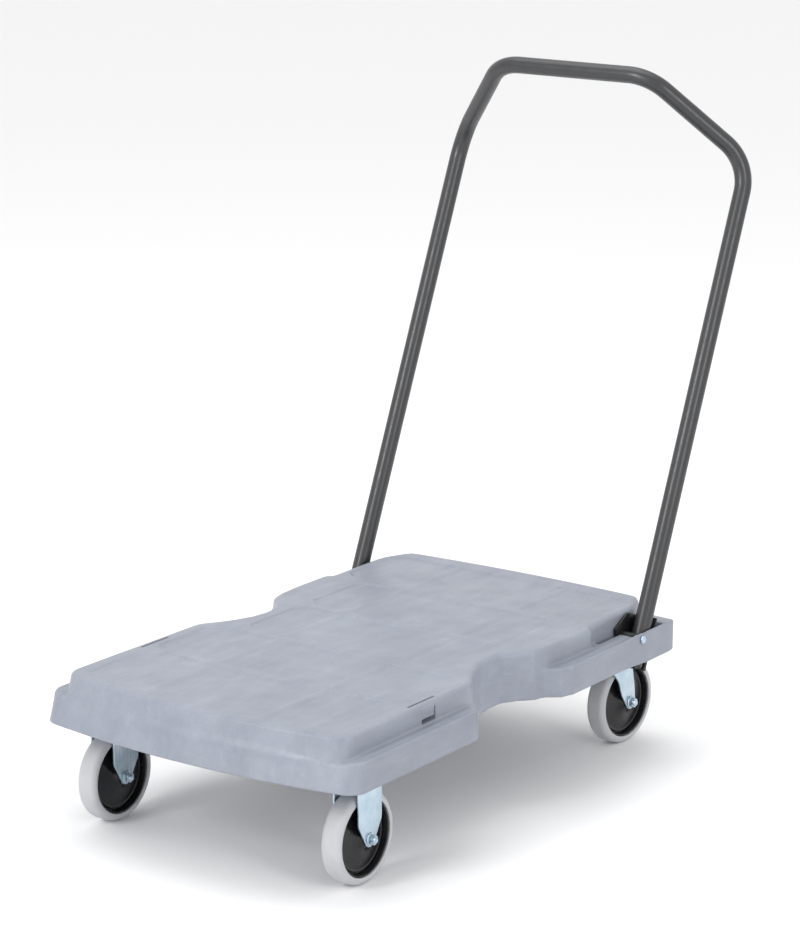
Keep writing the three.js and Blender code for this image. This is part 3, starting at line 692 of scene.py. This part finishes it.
def foot_rest(ax, y, z):
    """The wedge that the leaning bracket rests on, and the lip over it round the barrel."""
    (y0, z0), (y1, z1) = on_leg(-FOOT, -19.3), on_leg(-23, -19.3)
    lean = ((y - y0) * (z1 - z0) - (z - z0) * (y1 - y0)) / math.hypot(y1 - y0, z1 - z0)
    lean = np.maximum(lean, POCKET_FRONT - 1 - y)
    wedge = np.maximum(lean, np.maximum(153 - z, z - z1))
    lip = np.maximum(lean, np.maximum(180.5 - z, z - LEDGE))
    lip = np.maximum(lip, BARREL_R + 0.9 - np.hypot(y - PIVOT_Y, z - PIVOT_Z))
    return np.maximum(np.minimum(wedge, lip), np.maximum(STEP_X + 6 - ax, ax - 261.5))


def catch_part(ax, y, z, across, up, along):
    middle_y, half = along
    return np.maximum(box_distance(ax, z, *across, *up), np.abs(y - middle_y) - half)


def deck_field(x, y, z):
    """How far each place is from the deck's skin, in millimetres, negative in the plastic."""
    ax = np.abs(x)
    up = (z - BOTTOM) / (LEDGE - BOTTOM)
    rise = (z - PLATFORM_FOOT) / (TOP - PLATFORM_FOOT)

    def around(outline):
        return polygon_distance(outline, x[:, :, 0], y[:, :, 0])[:, :, None]

    def at_the_sides(outline):
        return polygon_distance(outline, ax[:, :, 0], y[:, :, 0])[:, :, None]

    low = around(skirt_outline(DECK_FRONT, REAR))
    high = around(skirt_outline(DECK_FRONT + DRAFT_FRONT, REAR - DRAFT_REAR))
    skirt = low + (high - low) * up
    base, peak = around(platform_outline(*PLATFORM_LOW)), around(platform_outline(*PLATFORM_HIGH))
    raised = base + (peak - base) * rise
    well_low, well_high = at_the_sides(recess(RECESS_LOW)), at_the_sides(recess(RECESS_HIGH))
    skirt = common(skirt, -well_low + 3 * up, 1.8)
    raised = common(raised, -well_high - 2.5 + 3 * rise, 12)

    # the low wings, with the side wall's crest at the rear and the scoop at the front corners
    beside, behind = smooth(y, 278, 304), smooth(y, 368, 376) * smooth(ax, 202, 208)
    outside = smooth(ax, 185, 212)
    crest = CREST * beside - CREST_FALL * smooth(y, 380, 405)
    crest = crest * np.maximum(smooth(ax, 252, 254), behind)
    scoop = SCOOP * (1 - smooth(y, -390, -341)) * outside
    wing = common(skirt, z - LEDGE - crest + scoop, 3.6 - 2 * beside)

    # the platform on them, with a fillet at its foot that fades out at the ends
    sunk = panel_depth(x, y)
    block = common(raised, z - (TOP - sunk), 4.5 + 3.5 * smooth(y, -330, -80))
    ends = smooth(y, -360, -330) * (1 - smooth(y, 392, 410))
    face = (1 - smooth(y, -384, -374)) * (1 - outside) * smooth(z, 176, 186)
    body = either(wing, block, 0.4 + 3.0 * ends + 5 * face)
    body = common(body, BOTTOM - z, 1.6)

    well = np.minimum(well_low, well_high)
    body = common(body, -hollow(x, y, z, skirt, raised, sunk, well), 1.2)

    # pockets for the handle's feet, and the narrow slot in front of each
    slot = box_distance(ax, y, STEP_X, STEP_X + 6, SLOT_FRONT, POCKET_FRONT + 3)
    hole = either(at_the_sides(pocket_outline()), slot, 0.5)
    body = common(body, -np.maximum(hole, BOTTOM - 5 - z), 1.4)
    body = np.minimum(body, foot_rest(ax, y, z))

    # the spring catch: a tab with a slit above it, a gap under it and a cut behind it
    body = either(body, catch_part(ax, y, z, TAB_X, TAB_Z, TAB_Y), 0.8)
    slit = np.maximum(box_distance(ax, y, *SLIT_X, *SLIT_Y), TOP - SLIT_DEPTH - z)
    gap = catch_part(ax, y, z, GAP_X, GAP_Z, GAP_Y)
    cut = catch_part(ax, y, z, CUT_X, CUT_Z, CUT_Y)
    body = np.maximum(body, -np.minimum(np.minimum(slit, gap), cut))

    # the folded legs' beds along the ledges, and the bolt's hole
    bed = np.hypot(ax - LEG_X, z - (PIVOT_Z + OFFSET)) - TUBE_R - 1.1
    body = common(body, -np.maximum(bed, y - 360), 0.4)
    bolt = np.hypot(y - PIVOT_Y, z - PIVOT_Z) - 4.4
    return np.maximum(body, -bolt)


KEPT_SHARE = 0.3  # of the skin's triangles, after flat places are thinned


def deck():
    """Samples the field on a grid that is finest at the edges, and skins it."""
    xs = mirrored(
        graded(
            (0, 4, 2), (4, 104, 10), (104, 116, 2), (116, 162, 8), (162, 212, 2.6),
            (212, 219, 1.75), (219, 228, 1.0), (228, 270, 1.4),
        )
    )
    ys = graded(
        (-405, -372, 1.5), (-372, -344, 2.5), (-344, -224, 6), (-224, -214, 2), (-214, -192, 1.3),
        (-192, -169, 3), (-169, -146, 1.2), (-146, -102, 4), (-102, -74, 1.6), (-74, -48, 2),
        (-48, 76, 4), (76, 112, 2), (112, 142, 1.4), (142, 226, 5), (226, 252, 2), (252, 294, 3),
        (294, 302, 1.3), (302, 370, 2), (370, 384, 1.3), (384, 400, 2), (400, 429, 1.5),
    )
    zs = graded(
        (147, 155, 1.2), (155, 158.5, 1.7), (158.5, 162, 1.0), (162, 168, 1.5), (168, 182, 3.5),
        (182, 223, 1.15),
    )
    grid = np.meshgrid(xs, ys, zs, indexing="ij", sparse=False)
    verts, quads = surface_net(deck_field(*grid), (xs, ys, zs))
    mesh = bpy.data.meshes.new("deck_moulding")
    mesh.from_pydata(verts.tolist(), [], quads.tolist())
    obj = bpy.data.objects.new("deck_scratch", mesh)
    bpy.context.scene.collection.objects.link(obj)
    thin = obj.modifiers.new("thin", "DECIMATE")
    thin.ratio = KEPT_SHARE
    bpy.context.view_layer.update()
    thinned = bpy.data.meshes.new_from_object(
        obj.evaluated_get(bpy.context.evaluated_depsgraph_get())
    )
    shape = Shape()
    shape.bm.from_mesh(thinned)
    bpy.data.objects.remove(obj)
    piece("deck_moulding", shape, "deck", "deck_plastic", ["deck"], sharp=60)


# ---------- the handle ----------


def handle_line(steps):
    """The tube's centreline from the right foot to the left, its corners rounded to BEND_R."""
    foot = on_leg(-FOOT, 0)
    corners = [
        Vector((LEG_X, *foot)),
        Vector((LEG_X, *ELBOW)),
        Vector(GRIP),
        Vector((-GRIP[0], *GRIP[1:])),
        Vector((-LEG_X, *ELBOW)),
        Vector((-LEG_X, *foot)),
    ]
    line = [corners[0]]
    for before, here, after in zip(corners, corners[1:], corners[2:]):
        back, on = (before - here).normalized(), (after - here).normalized()
        half = back.angle(on) / 2
        centre = here + (back + on).normalized() * (BEND_R / math.sin(half))
        start = here + back * (BEND_R / math.tan(half)) - centre
        axis = start.cross(on).normalized()
        for k in range(steps + 1):
            turn = Matrix.Rotation((math.pi - 2 * half) * k / steps, 3, axis)
            line.append(turn @ start + centre)
    line.append(corners[-1])
    return line


def handle():
    """The bent tube, with its cut ends broken. It is a hair thinner than the faceted solid."""
    line = handle_line(20)
    along = (line[1] - line[0]).normalized()
    line = [line[0], line[0] + along * 0.5, line[0] + along] + line[1:]
    line = line[:-1] + [line[-1] + along, line[-1] + along * 0.5, line[-1]]
    last = len(line) - 1
    radius = TUBE_R - 0.25
    ends = (radius - 0.35, radius - 0.1)
    outer = list(enumerate(ends))
    outer += [(i, radius) for i in range(2, last - 1)]
    outer += [(last - 1, ends[1]), (last, ends[0])]
    bore = [(i, BORE_R) for i in range(last, -1, -1)]
    shape = Shape()
    swept(shape, line, outer + bore)
    piece("handle_tube_smooth", shape, "handle", "tube_paint", ["handle_tube"])


def leg_turned(shape, profile, side, segments=40):
    """Turns (u, radius) points about the leg's own axis."""
    part = Shape()
    square = Vector((0, math.cos(LEAN), -math.sin(LEAN)))
    rings = []
    for u, r in profile:
        at = Vector((side * LEG_X, *on_leg(u, 0)))
        r = max(r, ON_AXIS)
        rings.append(
            [at + Vector((r * c, 0, 0)) + square * (r * s) for c, s in circle(1, segments)]
        )
    ring_skin(part, rings)
    bmesh.ops.remove_doubles(part.bm, verts=part.bm.verts, dist=WELD)
    merge(shape, part)


def cross_turned(shape, profile, side, u, segments=32):
    """Turns (v, radius) points about a line square through the leg at height u."""
    part = Shape()
    up = Vector((0, math.sin(LEAN), math.cos(LEAN)))
    rings = []
    for v, r in profile:
        at = Vector((side * LEG_X, *on_leg(u, v)))
        r = max(r, ON_AXIS)
        rings.append([at + Vector((r * c, 0, 0)) + up * (r * s) for c, s in circle(1, segments)])
    ring_skin(part, rings)
    bmesh.ops.remove_doubles(part.bm, verts=part.bm.verts, dist=WELD)
    merge(shape, part)


def sided(side, low, high):
    return (low, high) if side > 0 else (-high, -low)


def bracket(side, word):
    """The black bracket: cheek with an ear, web behind the leg, front wall and barrel."""
    shape = Shape()
    ear = [on_leg(u, v) for u, v in ((-14, -23), (-6, -31), (0, -36), (5.4, -38.5))]
    cheek = [on_leg(-42, 16), on_leg(-42, -19), *ear, on_leg(34, -14), on_leg(36, 16)]
    prism(shape, cheek, "x", *sided(side, 227, 230), bevel=0.7)
    web = [on_leg(-42, 13), on_leg(-42, 16), on_leg(36, 16), on_leg(36, 13)]
    prism(shape, web, "x", *sided(side, 228, 262), bevel=0.7)
    wall = [on_leg(-42, -19), on_leg(-42, -16), on_leg(-8, -16), on_leg(-8, -19)]
    prism(shape, wall, "x", *sided(side, 228, 262), bevel=0.7)
    for v0, v1 in ((-19, -9.8), (9.8, 16)):
        outer = [on_leg(-42, v1), on_leg(-42, v0), on_leg(-8, v0), on_leg(-8, v1)]
        prism(shape, outer, "x", *sided(side, 259, 262), bevel=0.7)
    bore = 4.3
    barrel = [(229, bore), (229, bore), (262, bore), (262, BARREL_R), (229, BARREL_R)]
    barrel = [(side * a, r) for a, r in rounded(barrel, 0.6)]
    turned(shape, barrel, "x", (0, PIVOT_Y, PIVOT_Z), 32)
    piece(f"leg_bracket_{word}", shape, "handle", "black_fittings", [f"pivot_bracket_{word}"])


def handle_fittings(side, word):
    bracket(side, word)
    shape = Shape()
    rivet = [(-22.9, 2.6), (-21.2, 4.6), (-19.3, 5), (-19.3, 3)]
    rivet += [(16.3, 3), (16.3, 5), (18.2, 4.6), (18.2, 2.6)]
    cross_turned(shape, rivet, side, RIVET_U)
    piece(f"leg_rivet_{word}", shape, "handle", "zinc_plate", [f"cross_rivet_{word}"])
    shape = Shape()
    plug = [(-40.6, 10.6), (-40.2, 11.9), (-39.4, 12.1), (-38.3, 12.1), (-38.3, 10.2), (-30, 9.8)]
    leg_turned(shape, plug, side)
    piece(f"leg_plug_{word}", shape, "handle", "black_fittings", [f"foot_plug_{word}"])
    shape = Shape()
    face = float(bulge_x(PIVOT_Y)) + 0.2
    head = [(205.5, 0), (206, 4), (face, 4), (face, 6), (face + 1.6, 5.8), (face + 2.7, 4.6)]
    head += [(face + 3.3, 2.6), (face + 3.4, 0)]
    turned(shape, [(side * a, r) for a, r in head], "x", (0, PIVOT_Y, PIVOT_Z), 40, False)
    piece(f"hinge_bolt_{word}", shape, "deck", "zinc_plate", [f"pivot_bolt_{word}"])
    shape = Shape()
    low = STEP_X - 4 - GAP
    hexagon(shape, side * low, side * (low - 6.5), PIVOT_HEX, (0, PIVOT_Y, PIVOT_Z))
    piece(f"hinge_nut_{word}", shape, "deck", "zinc_plate", [f"pivot_nut_{word}"])
    shape = Shape()
    y, z = on_leg(-2, 4)
    pin = [(217.7, 0), (217.9, 5.6), (220.4, 6), (220.7, 5.8), (220.7, 4), (225.8, 4)]
    pin += [(226.5, 2.6), (226.6, 0)]
    turned(shape, [(side * a, r) for a, r in pin], "x", (0, y, z), 28, False)
    body = f"{word}_plunger"
    piece(f"spring_plunger_{word}", shape, body, "zinc_plate", [f"detent_plunger_{word}"])


# ---------- casters ----------


def wheel(name, body, spin, y):
    """Tyre and hub about the X axis, before the caster's own turn."""
    centre = (0, y, WHEEL_R)
    half, r, seat, shoulder = 15.5, WHEEL_R, 53.3, 8.5
    tread = [(-half + 1, seat), (-half, seat + 2.4), (-half, r - 7)]
    tread += arc(-half + shoulder, r - shoulder, shoulder, 170, 96, 7)
    tread += [(-4, r - 0.03), (4, r - 0.03)]
    tread += arc(half - shoulder, r - shoulder, shoulder, 84, 10, 7)
    tread += [(half, r - 7), (half, seat + 2.4), (half - 1, seat)]
    shape = Shape()
    turned(shape, tread, "x", centre, 96)
    piece(f"{name}_tyre_rubber", shape, body, "tyre_rubber", [f"{name}_tyre"], spin)
    side = [(16.5, 8.3), (16.5, 11.6), (14.4, 13.4), (11.6, 17.5), (9.4, 24), (7.4, 34)]
    side += [(5.8, 43.6)]
    side += [(6.5, 45.2), (6.5, 46.4), (3.6, 47.2), (3.6, 49), (11.6, 50.2), (13.2, 51)]
    side += [(13.2, 52.2), (12, 53)]
    side = rounded(side, 1.3, 3)
    profile = [(-a, b) for a, b in side] + side[::-1]
    shape = Shape()
    turned(shape, profile, "x", centre, 96)
    piece(f"{name}_wheel_hub", shape, body, "hub_plastic", [f"{name}_hub"], spin)
    return centre


def axle(name, body, spin, centre):
    shape = Shape()
    sleeve = [(-17.6, 5.1), (17.6, 5.1), (17.6, 7.6), (17.2, 8), (-17.2, 8), (-17.6, 7.6)]
    turned(shape, sleeve, "x", centre, 40)
    piece(f"{name}_spacer", shape, body, "zinc_plate", [f"{name}_axle_sleeve"], spin)
    shape = Shape()
    hexagon(shape, -FORK_OUT - GAP, -FORK_OUT - 6.2, AXLE_HEX, centre)
    end = FORK_OUT + 9.6
    crest, root, pitch, threads = 4.7, 4.1, 1.1, 6
    shank = [(-FORK_OUT - 3, 0), (-FORK_OUT - 3, crest), (FORK_OUT, crest)]
    shank += [(FORK_OUT + 1.8, crest)]
    for k in range(threads):
        at = FORK_OUT + 2.4 + k * pitch
        shank += [(at, root), (at + pitch / 2, crest)]
    shank += [(end - 0.5, 4.2), (end, 3.4), (end - 0.5, 2.2), (end - 0.9, 0)]
    turned(shape, shank, "x", centre, 32, False)
    piece(f"{name}_bolt", shape, body, "zinc_plate", [f"{name}_axle_bolt"], spin)
    shape = Shape()
    start = FORK_OUT + GAP
    flange = [(start, 5), (start, 8.6), (start + 0.5, 9), (start + 1.2, 8.4), (start + 1.5, 7)]
    flange += [(start + 1.5, 5)]
    turned(shape, flange, "x", centre, 40)
    hexagon(shape, start + 1.2, start + 6.9, AXLE_HEX, centre)
    piece(f"{name}_locknut", shape, body, "zinc_plate", [f"{name}_axle_nut"], spin)


def plate_outline(half_x, half_y, r=6):
    outline = []
    for sx, sy, start in ((1, -1, -90), (1, 1, 0), (-1, 1, 90), (-1, -1, 180)):
        outline += arc(sx * (half_x - r), sy * (half_y - r), r, start, start + 90, 5)
    return outline


def mounting_plate(shape):
    prism(shape, plate_outline(*PLATE_HALF), "z", PLATE_BOTTOM, PLATE_TOP, bevel=0.6)


def fork_leg(shape, outline, side):
    prism(shape, outline, "x", *sided(side, FORK_IN, FORK_OUT), bevel=0.8, segments=3)


def fixed_fork(name, spin):
    shape = Shape()
    mounting_plate(shape)
    top = PLATE_BOTTOM + 0.5
    outline = [(-FORK_HALF, top), (-FORK_HALF, 90), (-FORK_HALF + 0.8, 85)]
    outline += arc(0, WHEEL_R, TIP_R, 206, 334, 12)
    outline += [(FORK_HALF - 0.8, 85), (FORK_HALF, 90), (FORK_HALF, top)]
    for side in (-1, 1):
        fork_leg(shape, outline, side)
    web = [(-FORK_OUT, -FORK_HALF), (FORK_OUT, -FORK_HALF), (FORK_OUT, FORK_HALF)]
    web += [(-FORK_OUT, FORK_HALF)]
    prism(shape, web, "z", PLATE_BOTTOM - 3, PLATE_BOTTOM + 0.5, bevel=0.8)
    piece(f"{name}_fork_pressing", shape, "deck", "zinc_plate", [f"{name}_fork"], spin)


def swivel_fork(name, body, spin, trail):
    shape = Shape()
    rear = [(trail + 3.5, 112), (trail + 0.6, 125), (trail - 1.5, 149)]
    outline = [(-25, 149), (-22, 136), (-15.5, 127), (-9, 120), (-2.5, 114), (3, 108), (7, 103)]
    outline += [(10, 98), (13.5, 88), (18, 77)]
    tip = arc(trail, WHEEL_R, TIP_R, 205, 355, 12)
    outline += [*tip, (trail + 9.6, 76), (trail + 8, 90), *rear]
    for side in (-1, 1):
        fork_leg(shape, outline, side)
    crown = plate_outline(FORK_OUT, 31, 5)
    crown = [(x, y + trail / 2 - 13.5) for x, y in crown]
    prism(shape, crown, "z", 142, 145, bevel=0.8)
    cup = [(6.3, 144), (6.3, 149), (20, 149), (24, 147.6), (25, 145.5), (25, 144)]
    turned(shape, [(z, r) for r, z in cup], "z", (0, 0, 0), 64)
    piece(f"{name}_fork_pressing", shape, body, "zinc_plate", [f"{name}_fork"], spin)


def swivel_head(name, spin):
    shape = Shape()
    mounting_plate(shape)
    piece(f"{name}_top_plate", shape, "deck", "zinc_plate", [f"{name}_plate"], spin)
    shape = Shape()
    race = [(6.5, 149.3), (6.5, 156.7), (21, 156.7), (25.5, 155.6), (27, 153.4), (26.6, 151.4)]
    race += [(25, 150.6), (25, 149.3)]
    turned(shape, [(z, r) for r, z in race], "z", (0, 0, 0), 64)
    piece(f"{name}_race", shape, "deck", "zinc_plate", [f"{name}_ball_race"], spin)
    shape = Shape()
    pin = [(138, 0), (138, 6.5), (138.6, 8.6), (140, 9.8), (141.7, 10), (141.7, 6), (159.8, 6)]
    pin += [(159.8, 0)]
    turned(shape, pin, "z", (0, 0, 0), 40, False)
    piece(f"{name}_king_bolt", shape, "deck", "zinc_plate", [f"{name}_kingpin"], spin)


def plate_screws(name):
    """The four hexagon screws under a caster's plate, where the CAD has them."""
    for k in range(1, 5):
        node = f"{name}_screw_{k}"
        at = middle(node)
        top = PLATE_BOTTOM - GAP
        part = Shape()
        hexagon(part, 0, 4, SCREW_HEX, (0, 0, 0), 0.6)
        turn = Matrix.Translation((at.x, at.y - SHIFT, top)) @ Matrix.Rotation(
            math.radians(90), 4, "Y"
        )
        bmesh.ops.transform(part.bm, matrix=turn, verts=part.bm.verts)
        shank = [(top - 0.5, 0), (top - 0.5, 3.2), (PLATE_TOP + 6, 3.2), (PLATE_TOP + 8, 0)]
        turned(part, shank, "z", (at.x, at.y - SHIFT, 0), 16, False)
        piece(f"{node}_hex", part, "deck", "zinc_plate", [node])


def casters():
    for end in ("front", "rear"):
        for side, word in ((-1, "left"), (1, "right")):
            name = f"{end}_{word}"
            if end == "front":
                at = middle(f"{name}_tyre")
                spin = (0, at.x, at.y - SHIFT)
                fixed_fork(name, spin)
                axle(name, "deck", spin, wheel(name, f"{name}_wheel", spin, 0))
            else:
                swivel = Vector(JOINTS[f"{name}_swivel"]["pos_m"]) / MM
                roll = JOINTS[f"{name}_roll"]
                yaw = math.atan2(roll["axis"][1], roll["axis"][0])
                trail = (Vector(roll["pos_m"]) / MM - swivel).to_2d().length
                x, y = swivel.x, swivel.y - SHIFT
                swivel_head(name, (0, x, y))
                swivel_fork(name, f"{name}_caster", (yaw, x, y), trail)
                centre = wheel(name, f"{name}_wheel", (yaw, x, y), trail)
                axle(name, f"{name}_caster", (yaw, x, y), centre)
            plate_screws(name)


# ---------- scene ----------


def camera():
    data = bpy.data.cameras.new("camera")
    data.sensor_width = SENSOR
    data.lens = FOCAL * SENSOR / PICTURE_HEIGHT
    data.clip_end = 50
    obj = bpy.data.objects.new("camera", data)
    bpy.context.scene.collection.objects.link(obj)
    yaw, pitch, roll = (math.radians(a) for a in CAMERA_TURNS)
    forward = Vector((-math.sin(yaw) * math.cos(pitch), math.cos(yaw) * math.cos(pitch),
                      -math.sin(pitch)))
    right = Vector((math.cos(yaw), math.sin(yaw), 0))
    up = right.cross(forward)
    right, up = (
        right * math.cos(roll) + up * math.sin(roll),
        up * math.cos(roll) - right * math.sin(roll),
    )
    turn = Matrix((right, up, -forward)).transposed().to_4x4()
    x, y, z = CAMERA_PLACE
    place = Vector((x, y + SHIFT, z)) * MM
    obj.matrix_world = Matrix.Translation(place) @ turn
    bpy.context.scene.camera = obj


def area_light(name, place, aim, size, power):
    data = bpy.data.lights.new(name, "AREA")
    data.shape = "RECTANGLE"
    data.size, data.size_y = size
    data.energy = power
    obj = bpy.data.objects.new(name, data)
    bpy.context.scene.collection.objects.link(obj)
    obj.location = place
    obj.rotation_euler = (Vector(aim) - Vector(place)).to_track_quat("-Z", "Y").to_euler()


def studio():
    """A plain pale floor under a white sky, with three soft lights."""
    mesh = bpy.data.meshes.new("floor")
    half = 30
    mesh.from_pydata(
        [(-half, -half, 0), (half, -half, 0), (half, half, 0), (-half, half, 0)],
        [],
        [(0, 1, 2, 3)],
    )
    floor = bpy.data.objects.new("floor", mesh)
    floor.location.z = CAD_BOX[0][2] - 0.0005
    bpy.context.scene.collection.objects.link(floor)
    m, s = material("floor", (0.9, 0.9, 0.905), 0.9)
    mesh.materials.append(m)
    world = bpy.data.worlds.new("world")
    world.use_nodes = True
    world.node_tree.nodes["Background"].inputs["Color"].default_value = (1, 1, 1, 1)
    world.node_tree.nodes["Background"].inputs["Strength"].default_value = 1.0
    bpy.context.scene.world = world
    area_light("key", (-0.9, -4.0, 2.4), (0, 0, 0.4), (1.1, 1.8), 70)
    area_light("side", (4.0, -1.5, 1.9), (0, 0, 0.4), (0.9, 1.8), 36)
    area_light("top", (-0.6, 0.3, 3.6), (0, 0, 0), (2.6, 2.6), 36)
    bpy.context.scene.view_settings.view_transform = "Standard"


camera()
studio()
deck()
handle()
for side, word in ((-1, "left"), (1, "right")):
    handle_fittings(side, word)
casters()
